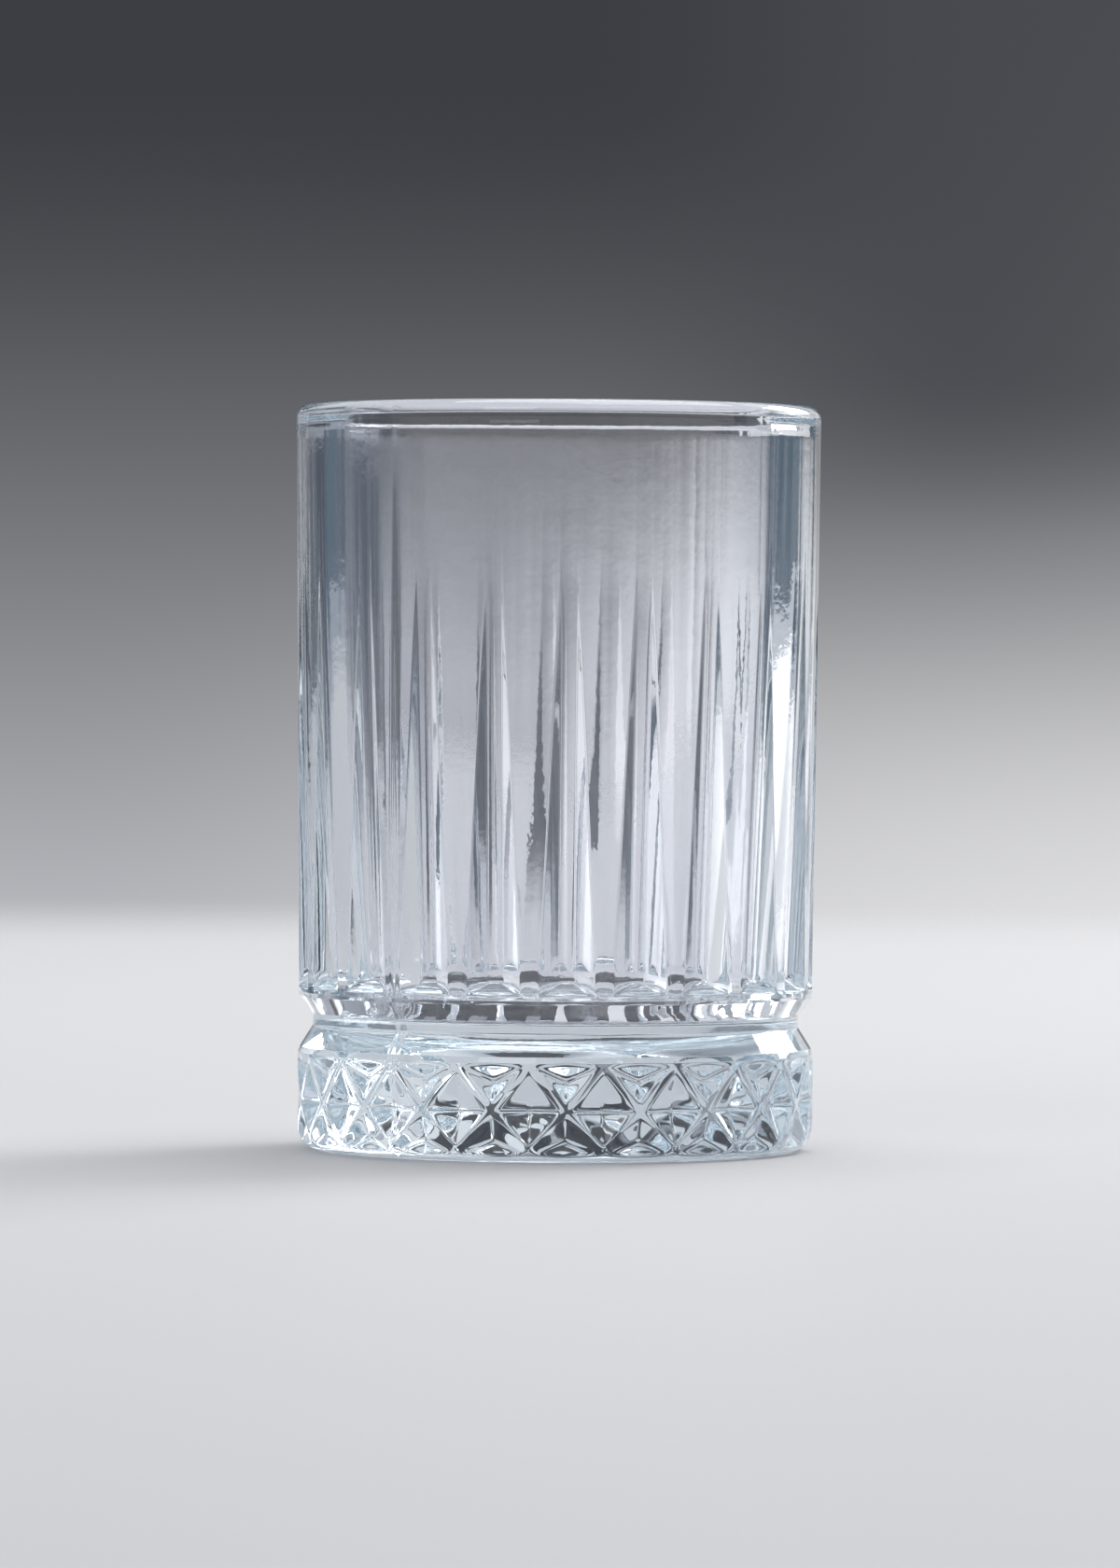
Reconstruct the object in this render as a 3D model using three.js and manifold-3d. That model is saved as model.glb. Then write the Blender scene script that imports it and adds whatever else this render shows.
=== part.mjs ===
// A pressed shot glass: a thick straight bowl cut with tall tapering flutes, a narrow waist,
// and a heavy foot cut all round with crosses. Millimetres, +Z up, origin on the table under
// the middle of the foot. The two mould seams of the real glass lie on the X axis, so a flute
// and a cross stand on the front, at -Y.
//
// The real glass is one piece. It is modelled as the zones that its mould gives it, one solid
// each, lying face to face: foot, waist, sham (the thick bottom), fluted wall and rim.

import * as THREE from "three";
import { ConvexGeometry } from "three/addons/geometries/ConvexGeometry.js";
import { mergeVertices } from "three/addons/utils/BufferGeometryUtils.js";
import Module from "manifold-3d";

// Heights of the zones, from the table up. The bowl's floor is the top of the waist.
const FOOT_HEIGHT = 10.9;
const WAIST_HEIGHT = 1.0;
const SHAM_HEIGHT = 1.95;
const WALL_HEIGHT = 48.95;
const RIM_HEIGHT = 2.4;

// Outer radii. The glass is widest at its rim, and every other radius steps in or out from it.
const RIM_RADIUS = 23.0;
const WALL_TAPER = 0.5;
const WAIST_DEPTH = 1.25;
const FOOT_STEP = 0.1;

// The thickness of the glass round the bowl, at its mouth and at its floor. BOWL_CURVE is the
// share of the narrowing between them that goes by the square of the depth.
const MOUTH_WALL = 3.7;
const FLOOR_WALL = 5.5;
const BOWL_CURVE = 0.77;

// The rim's fire-polished edges, and the slight bead that the flame leaves inside the lip.
const RIM_OUTER_ROUND = 1.1;
const RIM_INNER_ROUND = 1.1;
const LIP_BEAD = 0.17;

// The sham's outside: a bevel up from the waist, then a short upright edge under the wall.
const SHAM_EDGE_HEIGHT = 0.35;
const SHAM_EDGE_STEP = 0.06;

// The foot: a rounded lower edge, a band of crosses, a plain strip and a sloped shoulder.
const FOOT_EDGE_ROUND = 2.0;
const BAND_LOW = 0.75;
const BAND_HEIGHT = 7.45;
const STRIP_HEIGHT = 0.85;
const STRIP_STEP = 0.2;
const REST_RING_WIDTH = 5.0;
const UNDERSIDE_RECESS = 0.9;

// The pattern round the glass: as many flutes on the wall as crosses on the foot.
const CUTS = 22;
const FLUTE_FOOT_WIDTH = 4.9;
const FLUTE_VALLEY_WIDTH = 1.35;
const FLUTE_DEPTH = 1.15;
const FLUTE_LENGTH = 35.5;
const FLUTE_RAMP = 1.45;
const FLUTE_LIFT = 0.5;
const CROSS_RIB_WIDTH = 0.8;
const PIT_SLOPE = 0.55;

// How round things are faceted, and how far a cutter reaches out of the surface that it cuts,
// as a share of its own size.
const SEGMENTS = 4 * CUTS;
const ARC_STEPS = 4;
const CUTTER_REACH = 1.6;

const WALL_FOOT_RADIUS = RIM_RADIUS - WALL_TAPER;
const WAIST_RADIUS = WALL_FOOT_RADIUS - WAIST_DEPTH;
const BASE_RADIUS = WALL_FOOT_RADIUS + FOOT_STEP;
const BOWL_MOUTH_RADIUS = RIM_RADIUS - MOUTH_WALL;
const BOWL_FLOOR_RADIUS = WALL_FOOT_RADIUS - FLOOR_WALL;
const WAIST_Z = FOOT_HEIGHT;
const SHAM_Z = WAIST_Z + WAIST_HEIGHT;
const WALL_Z = SHAM_Z + SHAM_HEIGHT;
const RIM_Z = WALL_Z + WALL_HEIGHT;
const TOP_Z = RIM_Z + RIM_HEIGHT;
const PITCH = (2 * Math.PI) / CUTS;

const wasm = await Module();
wasm.setup();

// The glass's outer radius at a height on the wall or rim, which flares evenly up to the rim.
function wallRadius(z) {
  return THREE.MathUtils.mapLinear(z, WALL_Z, TOP_Z, WALL_FOOT_RADIUS, RIM_RADIUS);
}

// The bowl's radius at a height, which narrows ever faster from the mouth to the floor.
function bowlRadius(z) {
  const depth = THREE.MathUtils.inverseLerp(TOP_Z, SHAM_Z, z);
  const share = depth + BOWL_CURVE * (depth ** 2 - depth);
  return THREE.MathUtils.lerp(BOWL_MOUTH_RADIUS, BOWL_FLOOR_RADIUS, share);
}

// A point at a radius, turned by an angle from the front, at a height.
function around(radius, angle, z) {
  return new THREE.Vector3(radius * Math.sin(angle), -radius * Math.cos(angle), z);
}

// A solid of revolution about Z from a path of radius and height.
function turned(path) {
  return new THREE.LatheGeometry(path.getPoints(ARC_STEPS), SEGMENTS).rotateX(Math.PI / 2);
}

// A geometry's triangles on shared corners, as a solid for cutting.
function solidOf(geometry) {
  const bare = geometry.clone();
  bare.deleteAttribute("normal");
  bare.deleteAttribute("uv");
  const merged = mergeVertices(bare);
  return new wasm.Manifold(
    new wasm.Mesh({
      numProp: 3,
      vertProperties: new Float32Array(merged.getAttribute("position").array),
      triVerts: new Uint32Array(merged.index.array),
    }),
  );
}

// A solid's triangles as a geometry again.
function geometryOf(solid) {
  const mesh = solid.getMesh();
  const geometry = new THREE.BufferGeometry();
  geometry.setAttribute("position", new THREE.BufferAttribute(mesh.vertProperties, 3));
  geometry.setIndex(new THREE.BufferAttribute(mesh.triVerts, 1));
  geometry.computeVertexNormals();
  return geometry;
}

// A blank with every cutter taken out of it.
function cutFrom(blank, cutters) {
  const cut = cutters.reduce((left, cutter) => left.subtract(solidOf(cutter)), solidOf(blank));
  return geometryOf(cut);
}

// One cutter for each place round the glass, made by a function of the angle of its middle.
function roundTheGlass(cutterAt, offset = 0) {
  return Array.from({ length: CUTS }, (_, index) => cutterAt((index + offset) * PITCH));
}

// Rim: the plain ring that the top of the mould forms, with both edges rounded by the flame.
function rimRing() {
  const lipRadius = BOWL_MOUTH_RADIUS - LIP_BEAD;
  const path = new THREE.Path();
  path.moveTo(wallRadius(RIM_Z), RIM_Z);
  path.lineTo(RIM_RADIUS, TOP_Z - RIM_OUTER_ROUND);
  path.absarc(RIM_RADIUS - RIM_OUTER_ROUND, TOP_Z - RIM_OUTER_ROUND, RIM_OUTER_ROUND, 0, Math.PI / 2);
  path.absarc(
    lipRadius + RIM_INNER_ROUND,
    TOP_Z - RIM_INNER_ROUND,
    RIM_INNER_ROUND,
    Math.PI / 2,
    Math.PI,
  );
  const bendZ = (RIM_Z + TOP_Z - RIM_INNER_ROUND) / 2;
  path.quadraticCurveTo(bowlRadius(bendZ), bendZ, bowlRadius(RIM_Z), RIM_Z);
  path.lineTo(wallRadius(RIM_Z), RIM_Z);
  return turned(path);
}

// A flute: a flat-bottomed groove that starts from nothing, grows deeper and wider on its way
// down, and comes out again over a short ramp a little above the foot of the wall.
function fluteCutter(middle) {
  const tipZ = WALL_Z + FLUTE_LENGTH;
  const deepZ = WALL_Z + FLUTE_RAMP;
  const corners = [-1, 1].flatMap((side) => {
    const valleyTurn = (side * FLUTE_VALLEY_WIDTH) / 2 / WALL_FOOT_RADIUS;
    const footTurn = (side * FLUTE_FOOT_WIDTH) / 2 / WALL_FOOT_RADIUS;
    const deep = around(wallRadius(deepZ) - FLUTE_DEPTH, middle + valleyTurn, deepZ);
    const tip = around(wallRadius(tipZ), middle + valleyTurn, tipZ);
    const foot = around(wallRadius(WALL_Z + FLUTE_LIFT), middle + footTurn, WALL_Z + FLUTE_LIFT);
    const outwards = foot.clone().sub(deep).multiplyScalar(CUTTER_REACH);
    return [deep, tip, foot.add(outwards), tip.clone().add(outwards)];
  });
  return new ConvexGeometry(corners);
}

// Fluted wall: a thick tube that narrows inside on a parabola, cut with the flutes.
function flutedWall() {
  const middleZ = (WALL_Z + RIM_Z) / 2;
  const footRadius = bowlRadius(WALL_Z);
  const bend = 2 * bowlRadius(middleZ) - (footRadius + bowlRadius(RIM_Z)) / 2;
  const path = new THREE.Path();
  path.moveTo(footRadius, WALL_Z);
  path.lineTo(WALL_FOOT_RADIUS, WALL_Z);
  path.lineTo(wallRadius(RIM_Z), RIM_Z);
  path.lineTo(bowlRadius(RIM_Z), RIM_Z);
  path.quadraticCurveTo(bend, middleZ, footRadius, WALL_Z);
  return cutFrom(turned(path), roundTheGlass(fluteCutter));
}

// Sham: the thick ring round the bottom of the bowl. Outside it is bevelled in towards the
// waist, and inside it is the rounded corner of the bowl's floor.
function sham() {
  const cornerRadius = bowlRadius(WALL_Z) - SHAM_HEIGHT;
  const path = new THREE.Path();
  path.moveTo(cornerRadius, SHAM_Z);
  path.lineTo(WAIST_RADIUS, SHAM_Z);
  path.lineTo(WALL_FOOT_RADIUS - SHAM_EDGE_STEP, WALL_Z - SHAM_EDGE_HEIGHT);
  path.lineTo(WALL_FOOT_RADIUS, WALL_Z);
  path.absarc(cornerRadius, WALL_Z, SHAM_HEIGHT, 0, -Math.PI / 2, true);
  return turned(path);
}

// Waist: the plain neck between the bowl and the foot. Its top is the floor of the bowl.
function waist() {
  const path = new THREE.Path();
  path.moveTo(0, WAIST_Z);
  path.lineTo(WAIST_RADIUS, WAIST_Z);
  path.lineTo(WAIST_RADIUS, SHAM_Z);
  path.lineTo(0, SHAM_Z);
  return turned(path);
}

// A pit of the cross band: a pyramid with its corners on the band and its point inside it,
// carried on past its corners and raised to a tip, so that all of it comes out of the band.
function pitCutter(corners, point, depth) {
  const reached = corners.map((corner) => corner.lerp(point, -CUTTER_REACH));
  const raised = 1 + ((1 + CUTTER_REACH) * depth) / BASE_RADIUS;
  const tip = point.clone().multiply(new THREE.Vector3(raised, raised, 1));
  return new ConvexGeometry([...reached, point, tip]);
}

// The band's layout, as arc length and height from the middle of a cross. The arms of a cross
// run to the corners of its cell, and the pits keep half a rib clear of them.
const HALF_PITCH = (PITCH * BASE_RADIUS) / 2;
const HALF_BAND = BAND_HEIGHT / 2;
const ARM_LENGTH = Math.hypot(HALF_PITCH, HALF_BAND);
const PIT_HALF_HEIGHT = HALF_BAND - ((CROSS_RIB_WIDTH / 2) * ARM_LENGTH) / HALF_PITCH;
const PIT_HALF_WIDTH = (PIT_HALF_HEIGHT * HALF_PITCH) / HALF_BAND;
const PIT_SIDE = Math.hypot(PIT_HALF_WIDTH, PIT_HALF_HEIGHT);
const PIT_AREA = PIT_HALF_WIDTH * PIT_HALF_HEIGHT;
const EDGE_TURN_IN = FOOT_EDGE_ROUND - Math.sqrt(FOOT_EDGE_ROUND ** 2 - (FOOT_EDGE_ROUND - BAND_LOW) ** 2);

// A point of the band at an arc length and height from the middle of a cell, sunk by a depth.
function onBand(middle, arc, height, depth = 0) {
  return around(BASE_RADIUS - depth, middle + arc / BASE_RADIUS, BAND_LOW + HALF_BAND + height);
}

// The four-sided pit between two crosses.
function diamondCutter(middle) {
  const corners = [
    onBand(middle, -PIT_HALF_WIDTH, 0),
    onBand(middle, PIT_HALF_WIDTH, 0),
    onBand(middle, 0, -PIT_HALF_HEIGHT),
    onBand(middle, 0, PIT_HALF_HEIGHT),
  ];
  const depth = (PIT_AREA / PIT_SIDE) * PIT_SLOPE;
  return pitCutter(corners, onBand(middle, 0, 0, depth), depth);
}

// The three-sided pit between the two upper arms of a cross, or the two lower ones, whose outer
// corners are sunk where the foot's rounded edge has already turned in.
function triangleCutter(middle, up, sunk) {
  const corners = [
    onBand(middle, 0, up * (HALF_BAND - PIT_HALF_HEIGHT)),
    onBand(middle, -PIT_HALF_WIDTH, up * HALF_BAND, sunk),
    onBand(middle, PIT_HALF_WIDTH, up * HALF_BAND, sunk),
  ];
  const inset = PIT_AREA / (PIT_HALF_WIDTH + PIT_SIDE);
  const depth = inset * PIT_SLOPE;
  return pitCutter(corners, onBand(middle, 0, up * (HALF_BAND - inset), depth), depth);
}

// Foot: the heavy base that the glass stands on, hollowed a little underneath.
function foot() {
  const shoulderZ = BAND_LOW + BAND_HEIGHT + STRIP_HEIGHT;
  const restInner = BASE_RADIUS - FOOT_EDGE_ROUND - REST_RING_WIDTH;
  const path = new THREE.Path();
  path.moveTo(0, UNDERSIDE_RECESS);
  path.quadraticCurveTo(restInner / 2, UNDERSIDE_RECESS, restInner, 0);
  path.lineTo(BASE_RADIUS - FOOT_EDGE_ROUND, 0);
  path.absarc(BASE_RADIUS - FOOT_EDGE_ROUND, FOOT_EDGE_ROUND, FOOT_EDGE_ROUND, -Math.PI / 2, 0);
  path.lineTo(BASE_RADIUS, BAND_LOW + BAND_HEIGHT);
  path.lineTo(BASE_RADIUS - STRIP_STEP, shoulderZ);
  path.lineTo(WAIST_RADIUS, FOOT_HEIGHT);
  path.lineTo(0, FOOT_HEIGHT);
  const pits = [
    ...roundTheGlass(diamondCutter, 0.5),
    ...roundTheGlass((middle) => triangleCutter(middle, 1, 0)),
    ...roundTheGlass((middle) => triangleCutter(middle, -1, EDGE_TURN_IN)),
  ];
  return cutFrom(turned(path), pits);
}

const clearGlass = new THREE.MeshStandardMaterial({
  name: "clear_glass",
  color: 0xdfeaec,
  roughness: 0.04,
  metalness: 0,
  transparent: true,
  opacity: 0.35,
});

const zones = { foot, waist, sham, fluted_wall: flutedWall, rim: rimRing };
const glass = new THREE.Group();
for (const [name, shape] of Object.entries(zones)) {
  const mesh = new THREE.Mesh(shape(), clearGlass);
  mesh.name = name;
  glass.add(mesh);
}

export default glass;
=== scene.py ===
import bpy
import numpy as np
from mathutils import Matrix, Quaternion, Vector


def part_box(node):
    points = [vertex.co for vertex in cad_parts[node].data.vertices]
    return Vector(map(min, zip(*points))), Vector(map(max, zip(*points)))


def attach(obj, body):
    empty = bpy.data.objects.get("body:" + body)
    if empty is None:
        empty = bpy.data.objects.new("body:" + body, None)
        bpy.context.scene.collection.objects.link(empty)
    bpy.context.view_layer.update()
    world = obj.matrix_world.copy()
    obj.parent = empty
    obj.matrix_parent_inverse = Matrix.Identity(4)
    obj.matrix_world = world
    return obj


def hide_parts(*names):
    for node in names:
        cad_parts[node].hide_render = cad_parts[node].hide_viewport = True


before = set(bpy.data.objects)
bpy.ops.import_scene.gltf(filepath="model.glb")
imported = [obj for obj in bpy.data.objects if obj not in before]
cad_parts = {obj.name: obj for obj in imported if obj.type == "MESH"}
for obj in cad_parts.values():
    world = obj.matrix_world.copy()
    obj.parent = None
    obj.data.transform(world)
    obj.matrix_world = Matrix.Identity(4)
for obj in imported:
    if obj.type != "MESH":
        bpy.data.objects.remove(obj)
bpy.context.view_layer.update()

# The pressed glass. One gob of clear soda-lime glass is pressed by a plunger in a two-part
# mould with a ring on top, and the flame then softens its edges. It is one closed skin, because
# light crosses no wall inside the glass, and it stands for every zone of the CAD model.

MM = 0.001


def zone(name):
    """A CAD zone's foot, top and outer radius, in millimetres."""
    low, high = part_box(name)
    return low.z / MM, high.z / MM, high.x / MM


_, _, foot_radius = zone("foot")
waist_z, waist_top, waist_radius = zone("waist")
_, _, wall_foot_radius = zone("sham")
wall_z, ring_z, _ = zone("fluted_wall")
_, top_z, rim_radius = zone("rim")

# The outline, from the middle of the underside out to the foot, up the outside, over the rim
# and down the bowl to the middle of its floor. Sizes are in millimetres, and a pair is a step
# in and a height.

BAND_LOW = 0.75
BAND_HEIGHT = 7.45
BAND_START = 0.36
STRIP_HEIGHT = 0.85
STRIP_STEP = 0.2
STRIP_EDGE = (0.02, 0.35)
BAND_MARGIN = 0.1
EDGE_ROUND = 2.0
EDGE_TURN = np.radians(31)
REST_WIDTH = 5.0
REST_EDGE = (0.6, 0.08)
REST_ROUND = 3.0
RECESS = 0.9
SHAM_EDGE = (0.06, 0.35)
WALL_START = 0.2
NECK_ROUNDS = [0.3, 0.35, 0.7, 0.7, 0.22, 0.25]
FLUTE_LENGTH = 35.5
FLUTE_RAMP = 1.45
FLUTE_LIFT = 0.5
MOUTH_WALL = 3.7
FLOOR_WALL = 5.5
BOWL_CURVE = 0.77
LIP_BEAD = 0.48
LIP_BEAD_HEIGHT = 2.75
LIP_TURN = 1.4
RIM_ROUND = 1.1
RIM_CROWN = 0.06
CROWN_ROUND = 20.0

band_top = BAND_LOW + BAND_HEIGHT
strip_top = band_top + STRIP_HEIGHT
rest_outer = foot_radius - EDGE_ROUND
rest_inner = rest_outer - REST_WIDTH
tip_z = wall_z + FLUTE_LENGTH
deep_z = wall_z + FLUTE_RAMP
mouth_radius = rim_radius - MOUTH_WALL
floor_radius = wall_foot_radius - FLOOR_WALL
floor_z = waist_top
floor_corner = wall_z - floor_z


def wall_radius(z):
    """The outside flares evenly from the foot of the wall to the rim."""
    return np.interp(z, [wall_z, top_z], [wall_foot_radius, rim_radius])


def bowl_radius(z):
    """The bowl narrows from its mouth to its floor, by the depth and more by its square. The lip
    thickens into a slight bead by a parabola, and a quarter circle turns into the floor."""
    depth = (top_z - z) / (top_z - floor_z)
    narrowing = (mouth_radius - floor_radius) * (depth + BOWL_CURVE * (depth ** 2 - depth))
    down = np.clip((floor_z + floor_corner - z) / floor_corner, 0, 1)
    corner = floor_corner * (1 - np.sqrt(1 - down ** 2))
    bead = LIP_BEAD * np.clip(1 - (top_z - z) / LIP_BEAD_HEIGHT, 0, 1) ** 2
    return mouth_radius - narrowing - bead - corner


def turned_in(z):
    """How far the foot's rounded lower edge has turned in at a height: a quarter circle."""
    return EDGE_ROUND - np.sqrt(EDGE_ROUND ** 2 - np.maximum(EDGE_ROUND - z, 0) ** 2)


def eased_line(corners, rounds, steps):
    """A line of radius and height through corners, each corner between the ends turned on an
    arc that touches both of its sides: the arc's spokes are blended by the sines of the angle
    from each end."""
    corners = np.array(corners, float)
    before, here, after = corners[:-2], corners[1:-1], corners[2:]
    back = (before - here) / np.linalg.norm(before - here, axis=1, keepdims=True)
    on = (after - here) / np.linalg.norm(after - here, axis=1, keepdims=True)
    opening = np.arccos(np.clip((back * on).sum(1), -1, 1))[:, None]
    size = np.array(rounds, float)[:, None]
    middle = back + on
    middle /= np.linalg.norm(middle, axis=1, keepdims=True)
    centre = here + middle * size / np.sin(opening / 2)
    first = here + back * size / np.tan(opening / 2) - centre
    last = here + on * size / np.tan(opening / 2) - centre
    turn = np.pi - opening
    share = np.linspace(0, 1, steps)
    spokes = (
        np.sin((1 - share) * turn)[..., None] * first[:, None]
        + np.sin(share * turn)[..., None] * last[:, None]
    ) / np.sin(turn)[..., None]
    arcs = (centre[:, None] + spokes).reshape(-1, 2)
    return np.vstack([corners[:1], arcs, corners[-1:]])


dome = np.linspace(0.05, 1, 9)[:-1]
underside = np.column_stack([rest_inner * dome, RECESS * (1 - dome ** 2)])
rest_ring = eased_line(
    [(rest_inner - REST_EDGE[0], REST_EDGE[1]), (rest_inner, 0), (rest_outer, 0)],
    rounds=[REST_ROUND],
    steps=5,
)[1:-1]
edge_turn = np.linspace(0, EDGE_TURN, 7)
foot_edge = np.column_stack([
    rest_outer + EDGE_ROUND * np.sin(edge_turn),
    EDGE_ROUND * (1 - np.cos(edge_turn)),
])
lower_line = np.vstack([underside, rest_ring, foot_edge])

band_rows = np.concatenate([
    np.linspace(BAND_START, BAND_LOW, 5)[:-1],
    BAND_LOW + np.linspace(0, 1, 37) * BAND_HEIGHT,
])
band_line = np.column_stack([foot_radius - turned_in(band_rows), band_rows])

neck_line = eased_line(
    [
        (foot_radius, band_top + BAND_MARGIN),
        (foot_radius - STRIP_EDGE[0], band_top + STRIP_EDGE[1]),
        (foot_radius - STRIP_STEP, strip_top),
        (waist_radius, waist_z),
        (waist_radius, waist_top),
        (wall_foot_radius - SHAM_EDGE[0], wall_z - SHAM_EDGE[1]),
        (wall_radius(wall_z), wall_z),
        (wall_radius(wall_z + WALL_START), wall_z + WALL_START),
    ],
    rounds=NECK_ROUNDS,
    steps=6,
)[:-1]

# Rows lie close together where the flutes' feet, the lip and the floor's corner bend most.
wall_rows = np.concatenate([
    np.linspace(wall_z + 0.12, deep_z + 0.3, 14),
    np.linspace(deep_z + 0.6, tip_z + 1.0, 19),
    np.linspace(tip_z + 4.0, ring_z, 4),
])
wall_line = np.column_stack([wall_radius(wall_rows), wall_rows])

ARC_STEPS = 11
rim_line = eased_line(
    [
        (wall_radius(ring_z + 0.3), ring_z + 0.3),
        (rim_radius, top_z - RIM_CROWN),
        ((rim_radius + bowl_radius(top_z)) / 2, top_z),
        (bowl_radius(top_z), top_z - RIM_CROWN),
        (bowl_radius(top_z - LIP_TURN), top_z - LIP_TURN),
    ],
    rounds=[RIM_ROUND, CROWN_ROUND, RIM_ROUND],
    steps=ARC_STEPS,
)

bowl_rows = np.concatenate([
    np.linspace(top_z - LIP_TURN - 0.3, top_z - LIP_BEAD_HEIGHT - 0.5, 8),
    np.linspace(top_z - 6.0, floor_z + floor_corner + 0.6, 14),
    floor_z + floor_corner * (1 - np.sin(np.linspace(0, np.pi / 2, 13))),
])
bowl_line = np.column_stack([bowl_radius(bowl_rows), bowl_rows])
floor_rows = np.linspace(bowl_line[-1, 0] - 1.0, 1.0, 5)
floor_line = np.column_stack([floor_rows, np.full_like(floor_rows, floor_z)])
upper_line = np.vstack([neck_line, wall_line, rim_line, bowl_line, floor_line])

# The flutes: tall grooves with a flat valley and two sloping sides, pressed by ribs of the
# mould. They are deepest at the foot of the wall, where a short scoop closes them, and the
# columns of the skin follow their edges. The mould's two seams run up between flutes.

REPEATS = 22
PITCH = 2 * np.pi / REPEATS
COLUMNS_PER_REPEAT = 18
FLUTE_WIDTH = 4.9
VALLEY_WIDTH = 1.35
FLUTE_DEPTH = 1.15
FLUTE_EDGE_EASE = 0.07
VALLEY_EASE = 0.08
SCOOP = 0.6
TIP_MARGIN = 0.12
FOOT_MARGIN = 0.1
CUT_MARGIN = 0.6
PAIR_GAP = 0.12
PAIR_SHARE = 0.35
SEAM_HALF_WIDTH = 0.22
SEAM_HEIGHT = 0.13

valley_half = VALLEY_WIDTH / 2
flute_half = FLUTE_WIDTH / 2
land_half = PITCH * wall_foot_radius / 2


def at(radius, turn, z):
    """The point at a radius, turned from the front towards +X, at a height."""
    return np.stack(np.broadcast_arrays(radius * np.sin(turn), -radius * np.cos(turn), z), -1)


def soft_max(a, b, ease):
    """The larger of two, with the crease between them eased: their mean plus half the length
    of the hypotenuse over their difference and the ease."""
    return 0.5 * (a + b + np.sqrt((a - b) ** 2 + ease ** 2))


def soft_min(a, b, ease):
    """The smaller of two, with the edge between them eased in the same way."""
    return -soft_max(-a, -b, ease)


def plane_radius(points, turn, z):
    """How far from the axis the plane through three points lies, seen along a turn at a height:
    the plane's offset less its share of the height, over its slope along that turn."""
    a, b, c = points
    normal = np.cross(b - a, c - a)
    slope = normal[0] * np.sin(turn) - normal[1] * np.cos(turn)
    return (normal @ a - normal[2] * z) / slope


def flute_radius(turn, z):
    """The radius of the flute's own faces: the outermost of its valley and its side, each the
    plane through three of the flute's corners, and of its scooped foot, which sinks by a power
    of the height above the foot's edge."""
    valley_turn = valley_half / wall_foot_radius
    lift_z = wall_z + FLUTE_LIFT
    deep = at(wall_radius(deep_z) - FLUTE_DEPTH, valley_turn, deep_z)
    tip = at(wall_radius(tip_z), valley_turn, tip_z)
    foot = at(wall_radius(lift_z), flute_half / wall_foot_radius, lift_z)
    across = np.array([-1.0, 1.0, 1.0])
    side = plane_radius((deep, tip, foot), np.abs(turn), z)
    valley = plane_radius((deep, tip, deep * across), turn, z)
    risen = (z - wall_z - FLUTE_LIFT) / (FLUTE_RAMP - FLUTE_LIFT)
    sunk = FLUTE_DEPTH * np.sign(risen) * np.abs(risen) ** SCOOP
    scooped = wall_radius(z) - sunk
    return soft_max(soft_max(side, valley, VALLEY_EASE), scooped, VALLEY_EASE)


def column_arcs(z):
    """Arc lengths of one repeat's columns from the middle of its flute, one row for each
    height: close pairs follow the valley's edge and the flute's edge, a pair bounds the seam,
    and above and below the wall they spread out evenly."""
    z = np.asarray(z, float)[:, None]
    fall = np.clip((tip_z - z) / (tip_z - wall_z), 0, 1)
    edge = valley_half + TIP_MARGIN + (flute_half - valley_half - TIP_MARGIN) * fall
    ramp = np.clip((deep_z - z) / (deep_z - wall_z), 0, 1)
    valley = valley_half + (flute_half - valley_half - FOOT_MARGIN) * ramp
    ease = np.minimum(PAIR_GAP, PAIR_SHARE * (edge - valley))
    last = land_half - SEAM_HALF_WIDTH
    land = (edge + ease + last) / 2
    half = np.concatenate(
        [valley - ease, valley, valley + ease, edge - ease, edge, edge + ease, land,
         np.full_like(z, last), np.full_like(z, land_half)],
        1,
    )
    whole = np.concatenate([-half[:, ::-1], np.zeros_like(z), half[:, :-1]], 1)
    even = np.linspace(-land_half, land_half, COLUMNS_PER_REPEAT + 1)[None, :-1]
    return whole, np.broadcast_to(even, whole.shape)


def turns_of(arcs):
    """Every repeat's columns as turns from the front, from the arcs of one repeat."""
    first = (np.arange(REPEATS) * PITCH)[None, :, None]
    return (first + arcs[:, None, :] / wall_foot_radius).reshape(len(arcs), -1)


def to_nearest(turn, spacing, offset=0.0):
    """A turn measured from the nearest of the places that repeat at a spacing."""
    return (turn - offset + spacing / 2) % spacing - spacing / 2


def seam_height(turn):
    """How far the two mould seams stand out: a low ridge with straight flanks."""
    arc = np.abs(to_nearest(turn, np.pi, np.pi / 2)) * wall_foot_radius
    return SEAM_HEIGHT * np.clip(1 - arc / SEAM_HALF_WIDTH, 0, 1)


# The cross band round the foot: ribs that cross between sunk pyramids, four-sided between two
# crosses and three-sided above and below each cross, all pressed by the mould.

RIB_WIDTH = 0.8
PIT_SLOPE = 0.55
RIB_EASE = 0.10
CREASE_EASE = 0.10

half_pitch = PITCH * foot_radius / 2
half_band = BAND_HEIGHT / 2
band_middle = BAND_LOW + half_band
arm = np.hypot(half_pitch, half_band)
pit_high = half_band - RIB_WIDTH / 2 * arm / half_pitch
pit_wide = pit_high * half_pitch / half_band
pit_side = np.hypot(pit_high, pit_wide)


def on_band(arc, height, depth=0.0):
    """A point of the band at an arc and height from a middle, sunk by a depth."""
    return at(foot_radius - depth, arc / foot_radius, height)


def triangle_radius(turn, height, sunk):
    """The radius of the faces of a three-sided pit, whose outer corners are sunk by a depth."""
    inset = pit_wide * pit_high / (pit_wide + pit_side)
    point = on_band(0, half_band - inset, inset * PIT_SLOPE)
    corner = on_band(pit_wide, half_band, sunk)
    slanted = plane_radius((on_band(0, half_band - pit_high), corner, point), turn, height)
    level = plane_radius((corner, corner * np.array([-1, 1, 1]), point), turn, height)
    return soft_max(slanted, level, CREASE_EASE)


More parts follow.
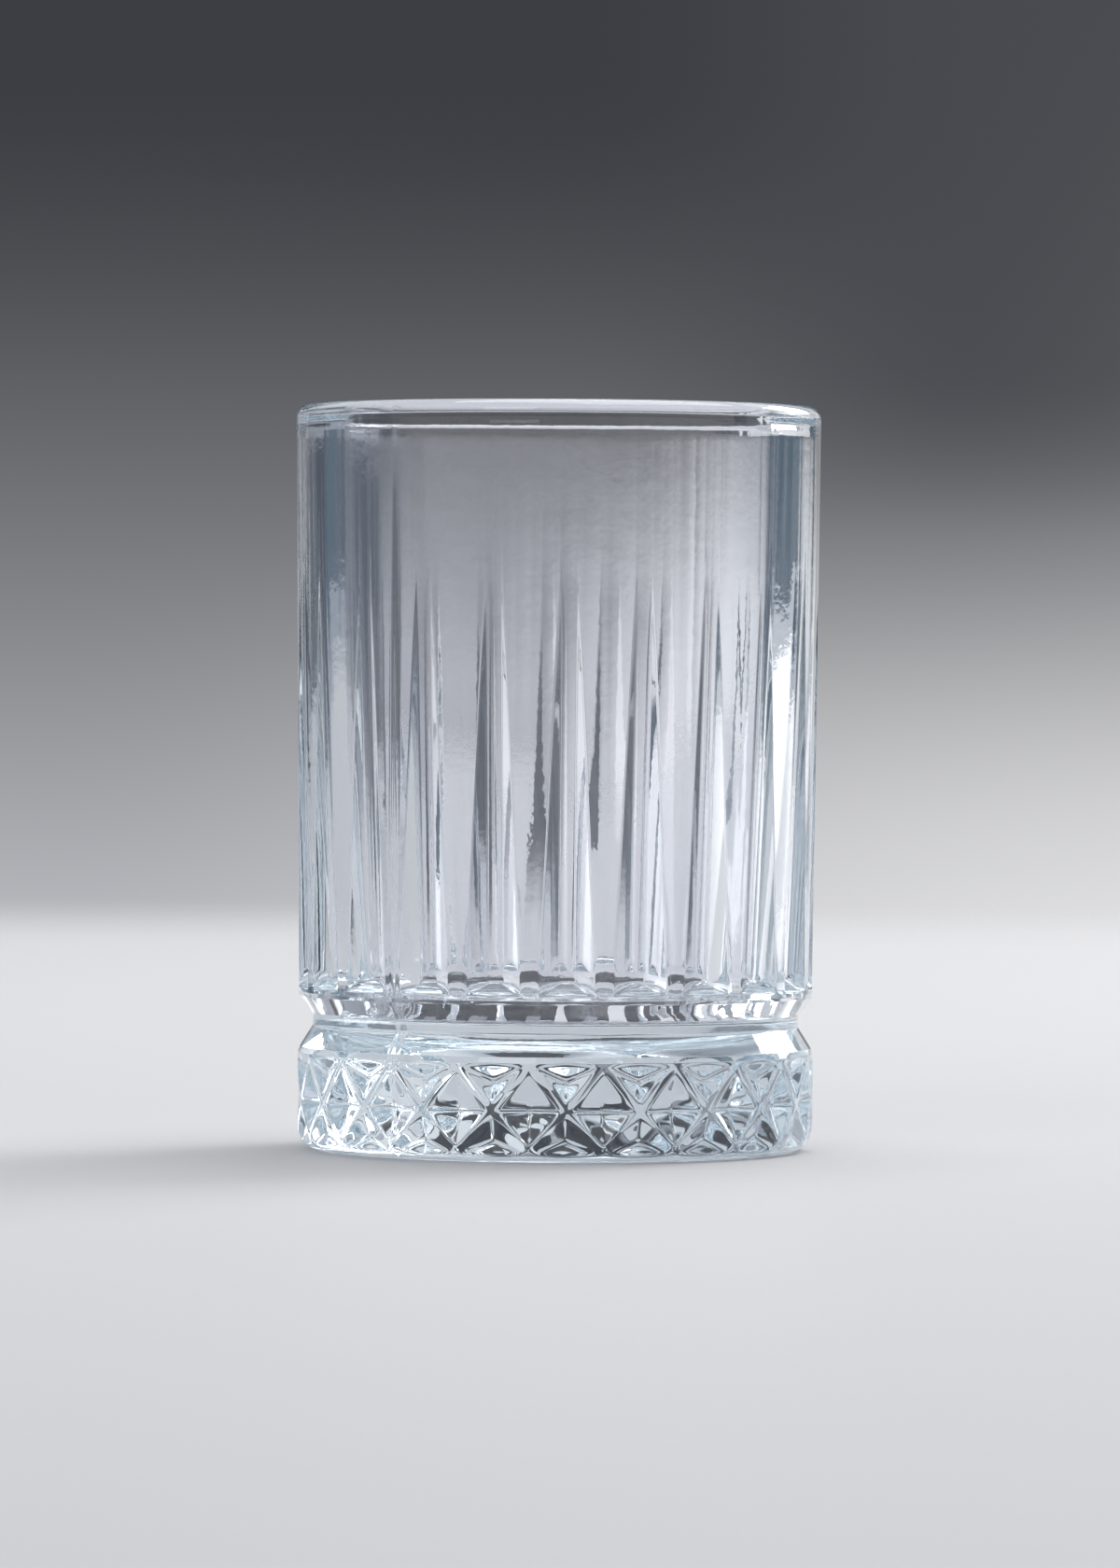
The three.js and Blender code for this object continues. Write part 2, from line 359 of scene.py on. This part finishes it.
def pit_radius(turn, z):
    """The radius of the nearest pit's own faces, each the plane through two corners and the
    pit's point, with the creases between them eased. The lower pits lie on the rounded edge."""
    height = np.sqrt((z - band_middle) ** 2 + (CREASE_EASE / 2) ** 2)
    ease = CREASE_EASE / 2 / foot_radius
    from_cross = np.sqrt(to_nearest(turn, PITCH) ** 2 + ease ** 2)
    from_pit = np.sqrt(to_nearest(turn, PITCH, PITCH / 2) ** 2 + ease ** 2)
    depth = pit_wide * pit_high / pit_side * PIT_SLOPE
    diamond = plane_radius(
        (on_band(pit_wide, 0), on_band(0, pit_high), on_band(0, 0, depth)), from_pit, height
    )
    upper = triangle_radius(from_cross, height, 0.0)
    lower = triangle_radius(from_cross, height, turned_in(BAND_LOW))
    return np.minimum(diamond, np.where(z > band_middle, upper, lower))


# The skin: the outline carried round the axis and cut, in three rings of points that are sewn
# together. The band has twice as many columns as the rest, so that its crosses come out crisp.


def skin(line, turn, seamed):
    """Points of the skin: the outline carried round the axis, cut by the flutes and pits and
    raised along the seams, which stay within the rim's radius."""
    radius = np.broadcast_to(line[:, :1], turn.shape)
    z = np.broadcast_to(line[:, 1:], turn.shape)
    near_flute = to_nearest(turn, PITCH)
    fluted = soft_min(radius, flute_radius(near_flute, z), FLUTE_EDGE_EASE)
    pitted = soft_min(radius, pit_radius(turn, z), RIB_EASE)
    outside = seamed[:, None] > 0
    radius = np.where(outside & (z > wall_z - CUT_MARGIN), fluted, radius)
    radius = np.where(outside & (z < strip_top), pitted, radius)
    raised = np.minimum(radius + seamed[:, None] * seam_height(turn), rim_radius)
    return at(raised, turn, z)


SEAM_FOOT_FADE = 0.8
SEAM_TOP_GAP = 0.3
SEAM_TOP_FADE = 0.9

lower_seamed = np.clip((lower_line[:, 0] - rest_outer) / SEAM_FOOT_FADE, 0, 1)
lower_points = skin(lower_line, turns_of(column_arcs(lower_line[:, 1])[1]), lower_seamed)

coarse_count = REPEATS * COLUMNS_PER_REPEAT
fine_count = 2 * coarse_count
fine = np.arange(fine_count) * np.pi / coarse_count - PITCH / 2
band_turn = np.broadcast_to(fine, (len(band_rows), len(fine)))
band_points = skin(band_line, band_turn, np.ones(len(band_rows)))

followed, even = column_arcs(upper_line[:, 1])
row = np.arange(len(upper_line))
outer = len(neck_line) + len(wall_line) + ARC_STEPS
follow = np.clip((upper_line[:, 1] - waist_z) / (wall_z - waist_z), 0, 1)
follow = np.where(row < outer, follow, np.clip(1 - (row - outer) / ARC_STEPS, 0, 1))
below_top = top_z - SEAM_TOP_GAP - upper_line[:, 1]
upper_seamed = np.where(row < outer, np.clip(below_top / SEAM_TOP_FADE, 0, 1), 0.0)
upper_turn = turns_of(even + (followed - even) * follow[:, None])
upper_points = skin(upper_line, upper_turn, upper_seamed)


def grid_faces(first, rows, columns):
    """Quads between neighbouring rows of a grid that closes on itself along each row."""
    index = first + np.arange(rows * columns).reshape(rows, columns)
    onward = np.roll(index, -1, 1)
    return np.stack([index[:-1], onward[:-1], onward[1:], index[1:]], -1).reshape(-1, 4)


def crossed_faces(first, heights, columns):
    """The same grid in triangles, each quad split along the arm of the cross that it lies on."""
    quads = grid_faces(first, len(heights), columns).reshape(len(heights) - 1, columns, 4)
    right = np.arange(columns) % (2 * COLUMNS_PER_REPEAT) >= COLUMNS_PER_REPEAT
    upper = heights[:-1] + heights[1:] > 2 * band_middle
    rising = (right[None, :] == upper[:, None])[..., None]
    one = np.where(rising, quads[..., [0, 1, 2]], quads[..., [0, 1, 3]])
    other = np.where(rising, quads[..., [0, 2, 3]], quads[..., [1, 2, 3]])
    return np.concatenate([one.reshape(-1, 3), other.reshape(-1, 3)])


def widening(coarse, fine):
    """Triangles from a ring of columns up to a ring of twice as many."""
    last = np.roll(coarse, -1)
    left, middle, right = fine[0::2], fine[1::2], np.roll(fine[0::2], -1)
    return np.concatenate([
        np.column_stack([coarse, last, middle]),
        np.column_stack([coarse, middle, left]),
        np.column_stack([last, right, middle]),
    ])


lower_first = 1
band_first = lower_first + lower_points.shape[0] * coarse_count
upper_first = band_first + band_points.shape[0] * fine_count
floor_pole = upper_first + upper_points.shape[0] * coarse_count
points = np.vstack([
    [[0.0, 0.0, RECESS]],
    lower_points.reshape(-1, 3),
    band_points.reshape(-1, 3),
    upper_points.reshape(-1, 3),
    [[0.0, 0.0, floor_z]],
])
ring = np.arange(coarse_count)
first_ring = lower_first + ring
last_ring = floor_pole - coarse_count + ring
lower_end = band_first - coarse_count + ring
upper_start = upper_first + ring
band_start = band_first + np.arange(fine_count)
band_end = upper_first - fine_count + np.arange(fine_count)
triangles = np.concatenate([
    np.column_stack([np.zeros(coarse_count, int), np.roll(first_ring, -1), first_ring]),
    widening(lower_end, band_start),
    crossed_faces(band_first, band_rows, fine_count),
    widening(upper_start, band_end)[:, ::-1],
    np.column_stack([last_ring, np.roll(last_ring, -1), np.full(coarse_count, floor_pole)]),
])
quads = np.concatenate([
    grid_faces(lower_first, lower_points.shape[0], coarse_count),
    grid_faces(upper_first, upper_points.shape[0], coarse_count),
])
glass_mesh = bpy.data.meshes.new("pressed_glass")
glass_mesh.from_pydata((points * MM).tolist(), [], triangles.tolist() + quads.tolist())
glass_mesh.shade_smooth()
glass = bpy.data.objects.new("pressed_glass", glass_mesh)
bpy.context.scene.collection.objects.link(glass)
even_normals = glass.modifiers.new("even_normals", "WEIGHTED_NORMAL")
even_normals.mode = "FACE_AREA"
even_normals.weight = 50

# Clear soda-lime glass, pressed and fire-polished: clear and bright, faintly blue-green where
# it is thick, with the shallow ripple and the fine grain that a chilled mould leaves on the
# skin. Widths and heights of both are in millimetres.

RIPPLE_WIDTH = 2.2
RIPPLE_HEIGHT = 0.006
GRAIN_WIDTH = 0.5
GRAIN_HEIGHT = 0.0015


def linear(code):
    """An sRGB hex colour as linear red, green, blue and full cover."""
    value = np.array([int(code[index:index + 2], 16) for index in (1, 3, 5)]) / 255
    value = np.where(value <= 0.04045, value / 12.92, ((value + 0.055) / 1.055) ** 2.4)
    return (*value.tolist(), 1.0)


def node(tree, kind, settings=(), *fed, **named):
    """Adds a node of a kind to a tree, with its settings. What is fed goes to its inputs in their
    order, or to those that are named: a socket is linked, and a number or colour is set."""
    made = tree.nodes.new(kind)
    for name, value in dict(settings).items():
        if name in made.inputs.keys():
            made.inputs[name].default_value = value
        else:
            setattr(made, name, value)
    for name, source in [*enumerate(fed), *named.items()]:
        if isinstance(source, bpy.types.NodeSocket):
            tree.links.new(source, made.inputs[name])
        else:
            made.inputs[name].default_value = source
    return made


soda_lime = bpy.data.materials.new("soda_lime_glass")
soda_lime.use_nodes = True
tree = soda_lime.node_tree
tree.nodes.clear()
place = node(tree, "ShaderNodeTexCoord")
ripple = node(
    tree, "ShaderNodeTexNoise",
    {"Scale": 1 / (RIPPLE_WIDTH * MM), "Detail": 2.0, "Roughness": 0.5},
    Vector=place.outputs["Object"],
)
grain = node(
    tree, "ShaderNodeTexNoise",
    {"Scale": 1 / (GRAIN_WIDTH * MM), "Detail": 1.0, "Roughness": 0.5},
    Vector=place.outputs["Object"],
)
ripple_bump = node(
    tree, "ShaderNodeBump", {"Strength": 1.0, "Distance": RIPPLE_HEIGHT * MM},
    Height=ripple.outputs["Fac"],
)
grain_bump = node(
    tree, "ShaderNodeBump", {"Strength": 1.0, "Distance": GRAIN_HEIGHT * MM},
    Height=grain.outputs["Fac"], Normal=ripple_bump.outputs["Normal"],
)
shader = node(
    tree, "ShaderNodeBsdfPrincipled",
    {
        "Base Color": linear("#f0f1f5"),
        "Roughness": 0.0,
        "IOR": 1.52,
        "Transmission Weight": 1.0,
    },
    Normal=grain_bump.outputs["Normal"],
)
tint = node(tree, "ShaderNodeVolumeAbsorption", {"Color": linear("#7cb2c6"), "Density": 7.0})
node(
    tree, "ShaderNodeOutputMaterial",
    Surface=shader.outputs["BSDF"], Volume=tint.outputs["Volume"],
)
glass_mesh.materials.append(soda_lime)
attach(glass, "root")
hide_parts("foot", "waist", "sham", "fluted_wall", "rim")

# The camera looks almost level at the glass, a little above the middle of the bowl, from far
# off with a long lens. The first seam is then left of the middle. Its place is in millimetres,
# and the angles of its sight are in degrees.

CAMERA_TURN = np.radians(-51.6)
CAMERA_AWAY = 765.0
CAMERA_HEIGHT = 43.5
LENS = 200.4
LOOK_DOWN = 0.858
LOOK_RIGHT = 0.021
LEAN = 0.33

to_right = np.array([np.cos(CAMERA_TURN), np.sin(CAMERA_TURN), 0.0])
to_back = np.array([-np.sin(CAMERA_TURN), np.cos(CAMERA_TURN), 0.0])


def seen(right, back, up):
    """A place given as the camera sees it, from the glass: right, away and up, in metres."""
    return Vector(to_right * right + to_back * back + np.array([0.0, 0.0, up]))


camera = bpy.data.objects.new("camera", bpy.data.cameras.new("camera"))
bpy.context.scene.collection.objects.link(camera)
camera.data.lens = LENS
camera.data.clip_start = 0.01
camera.data.clip_end = 20.0
camera.location = seen(0, -CAMERA_AWAY * MM, CAMERA_HEIGHT * MM)
sight = seen(np.tan(np.radians(LOOK_RIGHT)), 1.0, -np.tan(np.radians(LOOK_DOWN)))
lean = Quaternion((0, 0, 1), np.radians(LEAN))
camera.rotation_mode = "QUATERNION"
camera.rotation_quaternion = sight.to_track_quat("-Z", "Y") @ lean
bpy.context.scene.camera = camera

# The floor: the top of a pale satin table, whose edges fade softly into the backdrop. It lies
# a hair below the glass, so that they do not meet. Its sizes are in metres.

TABLE_LEFT = -0.14
TABLE_RIGHT = 0.48
TABLE_BACK = 0.66
TABLE_FRONT = -1.60
SIDE_FADE = 0.05
BACK_FADE = 0.14
TABLE_GAP = 0.05 * MM

floor_left = TABLE_LEFT - SIDE_FADE
floor_right = TABLE_RIGHT + SIDE_FADE
floor_back = TABLE_BACK + BACK_FADE
floor_corners = [
    (floor_left, TABLE_FRONT, 0), (floor_right, TABLE_FRONT, 0),
    (floor_right, floor_back, 0), (floor_left, floor_back, 0),
]
floor_mesh = bpy.data.meshes.new("floor")
floor_mesh.from_pydata(floor_corners, [], [(0, 1, 2, 3)])
floor = bpy.data.objects.new("floor", floor_mesh)
floor.location = seen(0, 0, -TABLE_GAP)
floor.rotation_euler = (0, 0, CAMERA_TURN)
bpy.context.scene.collection.objects.link(floor)

# Satin lacquer on the table top: pale and almost even, with a broad, faint sheen.
table_top = bpy.data.materials.new("pale_table_top")
table_top.use_nodes = True
tree = table_top.node_tree
tree.nodes.clear()
place = node(tree, "ShaderNodeTexCoord")
axes = node(tree, "ShaderNodeSeparateXYZ", Vector=place.outputs["Object"])


def inside(tree, *bounds, most=1.0):
    """How far a place or a way lies inside all of its bounds, up to a most: the most times a ramp
    for each bound, which rises smoothly from nought to one while a measure goes from a start to
    an end."""
    share = most
    for measure, start, end in bounds:
        ramp = node(
            tree, "ShaderNodeMapRange", {"interpolation_type": "SMOOTHSTEP"}, measure, start, end
        )
        product = node(
            tree, "ShaderNodeMath", {"operation": "MULTIPLY"}, ramp.outputs["Result"], share
        )
        share = product.outputs["Value"]
    return share


solid = inside(
    tree,
    (axes.outputs["X"], floor_left, TABLE_LEFT + SIDE_FADE),
    (axes.outputs["X"], floor_right, TABLE_RIGHT - SIDE_FADE),
    (axes.outputs["Y"], floor_back, TABLE_BACK - BACK_FADE),
)
shader = node(
    tree, "ShaderNodeBsdfPrincipled",
    {"Base Color": linear("#dcdcde"), "Roughness": 0.55, "Specular IOR Level": 0.3},
    Alpha=solid,
)
node(tree, "ShaderNodeOutputMaterial", Surface=shader.outputs["BSDF"])
floor_mesh.materials.append(table_top)

# The light: a wide soft box overhead, a second one behind on the right, which throws the
# shadow to the left, and a weak fill in front. Places and sizes are in metres.


def soft_box(name, place, aim, width, height, watts):
    """A rectangular soft box of a size and power, at a place and facing another."""
    lamp = bpy.data.lights.new(name, "AREA")
    lamp.shape = "RECTANGLE"
    lamp.size = width
    lamp.size_y = height
    lamp.energy = watts
    box = bpy.data.objects.new(name, lamp)
    bpy.context.scene.collection.objects.link(box)
    box.location = place
    box.rotation_mode = "QUATERNION"
    box.rotation_quaternion = (aim - place).to_track_quat("-Z", "Y")


centre = seen(0, 0, 0.03)
soft_box("overhead", seen(0.14, 0.20, 1.0), centre, width=0.9, height=0.9, watts=6.9)
soft_box("back_right", seen(0.90, 0.90, 0.60), centre, width=0.60, height=0.65, watts=11.0)
soft_box("front_fill", seen(-0.5, -1.2, 0.7), centre, width=0.6, height=0.6, watts=2.0)

# The backdrop: dark above and paler towards the table, most so on the right, with a white panel
# beyond it there and a darker end on the left. It stands behind the glass only; its surround is
# pale, and so is the ground beyond the table. Diffuse things are lit by an even grey.

world = bpy.data.worlds.new("backdrop")
bpy.context.scene.world = world
world.use_nodes = True
tree = world.node_tree
tree.nodes.clear()

# A rise is the sine of how steeply a way looks up, and a turn is its angle to the right of
# straight behind the glass, in radians.
way = node(tree, "ShaderNodeTexCoord").outputs["Generated"]
rise, rightward, backward = [
    node(tree, "ShaderNodeVectorMath", {"operation": "DOT_PRODUCT"}, way, axis).outputs["Value"]
    for axis in ((0.0, 0.0, 1.0), tuple(to_right), tuple(to_back))
]
turn = node(tree, "ShaderNodeMath", {"operation": "ARCTAN2"}, rightward, backward).outputs["Value"]


def laid_over(tree, light, share, code):
    """A light with an even sRGB colour laid over it by a share."""
    colour = node(tree, "ShaderNodeBackground", {"Color": linear(code)}).outputs["Background"]
    return node(tree, "ShaderNodeMixShader", {}, share, light, colour).outputs["Shader"]


# The screen behind the glass pales downwards, and a soft glow brightens it low on the right.
SCREEN_POWER = 1.8
down = node(tree, "ShaderNodeMapRange", {"interpolation_type": "LINEAR"}, rise, 0.066, -0.036)
pale = node(tree, "ShaderNodeMath", {"operation": "POWER"}, down.outputs["Result"], SCREEN_POWER)
high_right = inside(tree, (rise, 0.012, 0.034), (turn, 0.0, 0.05), most=0.9)
near_glow = inside(tree, (rise, 0.022, -0.022), (turn, -0.06, 0.06), most=0.25)
far_glow = inside(tree, (rise, 0.10, 0.0), (turn, 0.04, 0.22), most=0.34)
glow = node(tree, "ShaderNodeMath", {"operation": "ADD"}, near_glow, far_glow).outputs["Value"]
spill = node(tree, "ShaderNodeBackground", {"Color": linear("#fffdf8")}, Strength=glow)
screen = node(tree, "ShaderNodeBackground", {"Color": linear("#3c3e43")}).outputs["Background"]
screen = laid_over(tree, screen, pale.outputs["Value"], "#bebfc4")
screen = laid_over(tree, screen, high_right, "#4a4b50")
lit_screen = node(tree, "ShaderNodeAddShader", {}, screen, spill.outputs["Background"])

# Its left end has a darker band at the height of the table's far edge.
left_band = inside(tree, (rise, -0.082, -0.062), (rise, 0.022, 0.002))
left_end = node(tree, "ShaderNodeBackground", {"Color": linear("#9fa1a8")}).outputs["Background"]
left_end = laid_over(tree, left_end, left_band, "#565a63")
to_left = inside(tree, (turn, -0.17, -0.29), (rise, 0.20, 0.14))
backdrop = node(tree, "ShaderNodeMixShader", {}, to_left, lit_screen.outputs["Shader"], left_end)
behind = inside(
    tree, (turn, -0.70, -0.64), (turn, 0.54, 0.37), (rise, -0.076, -0.066), (rise, 0.36, 0.35)
)

# Beyond both ends of the screen it is dark low down, and darkest far off on the right.
step = inside(tree, (turn, 0.55, 0.75), most=0.022)
stepped = node(tree, "ShaderNodeMath", {"operation": "ADD"}, rise, step).outputs["Value"]
dark_right = inside(tree, (stepped, -0.034, -0.024), (rise, 0.05, 0.04), (turn, 0.0, 0.1))
dark_left = inside(
    tree, (turn, -1.00, -0.96), (turn, -0.62, -0.66), (rise, -0.05, -0.04), (rise, 0.11, 0.10)
)
either = node(tree, "ShaderNodeMath", {"operation": "MAXIMUM"}, dark_left, dark_right)
dark = inside(tree, (backward, -0.1, 0.3), most=either.outputs["Value"])
far_right = inside(
    tree, (turn, 1.53, 1.55), (turn, 1.72, 1.70), (rise, 0.01, 0.02), (rise, 0.13, 0.12)
)

# The white panel on the right has a low, wide part and a tall, narrow one.
low_panel = inside(
    tree, (turn, 0.24, 0.29), (turn, 1.03, 0.98), (rise, 0.036, 0.046), (rise, 0.16, 0.15)
)
tall_panel = inside(
    tree, (turn, 0.23, 0.27), (turn, 0.46, 0.42), (rise, 0.04, 0.06), (rise, 0.52, 0.50)
)
panel = node(tree, "ShaderNodeMath", {"operation": "MAXIMUM"}, low_panel, tall_panel)

# The surround is grey on the left and paler on the right, above, in front and on the ground.
surround = node(tree, "ShaderNodeBackground", {"Color": linear("#98a0aa")}).outputs["Background"]
surround = laid_over(tree, surround, inside(tree, (turn, -0.2, 0.2)), "#ccd2d8")
surround = laid_over(tree, surround, inside(tree, (rise, 0.35, 0.60)), "#f6f8fa")
surround = laid_over(tree, surround, inside(tree, (backward, 0.1, -0.4)), "#ffffff")
surround = laid_over(tree, surround, dark, "#5c6b78")
surround = laid_over(tree, surround, far_right, "#20262e")
surround = laid_over(tree, surround, inside(tree, (rise, -0.055, -0.085)), "#d0d2d5")
studio = node(tree, "ShaderNodeMixShader", {}, behind, surround, backdrop.outputs["Shader"])
studio = laid_over(tree, studio.outputs["Shader"], panel.outputs["Value"], "#ffffff")

# Only what is seen, mirrored or looked through shows all this.
ray = node(tree, "ShaderNodeLightPath")
sharp = ray.outputs["Is Camera Ray"]
for kind in ("Is Glossy Ray", "Is Transmission Ray"):
    either = node(tree, "ShaderNodeMath", {"operation": "MAXIMUM"}, sharp, ray.outputs[kind])
    sharp = either.outputs["Value"]
grey = node(tree, "ShaderNodeBackground", {"Color": linear("#868789")}).outputs["Background"]
light = node(tree, "ShaderNodeMixShader", {}, sharp, grey, studio)
node(tree, "ShaderNodeOutputWorld", Surface=light.outputs["Shader"])

# Light may cross the thick glass many times before it is lost.
bpy.context.scene.view_settings.view_transform = "Standard"
bpy.context.scene.cycles.max_bounces = 32
bpy.context.scene.cycles.transmission_bounces = 32
bpy.context.scene.cycles.glossy_bounces = 16
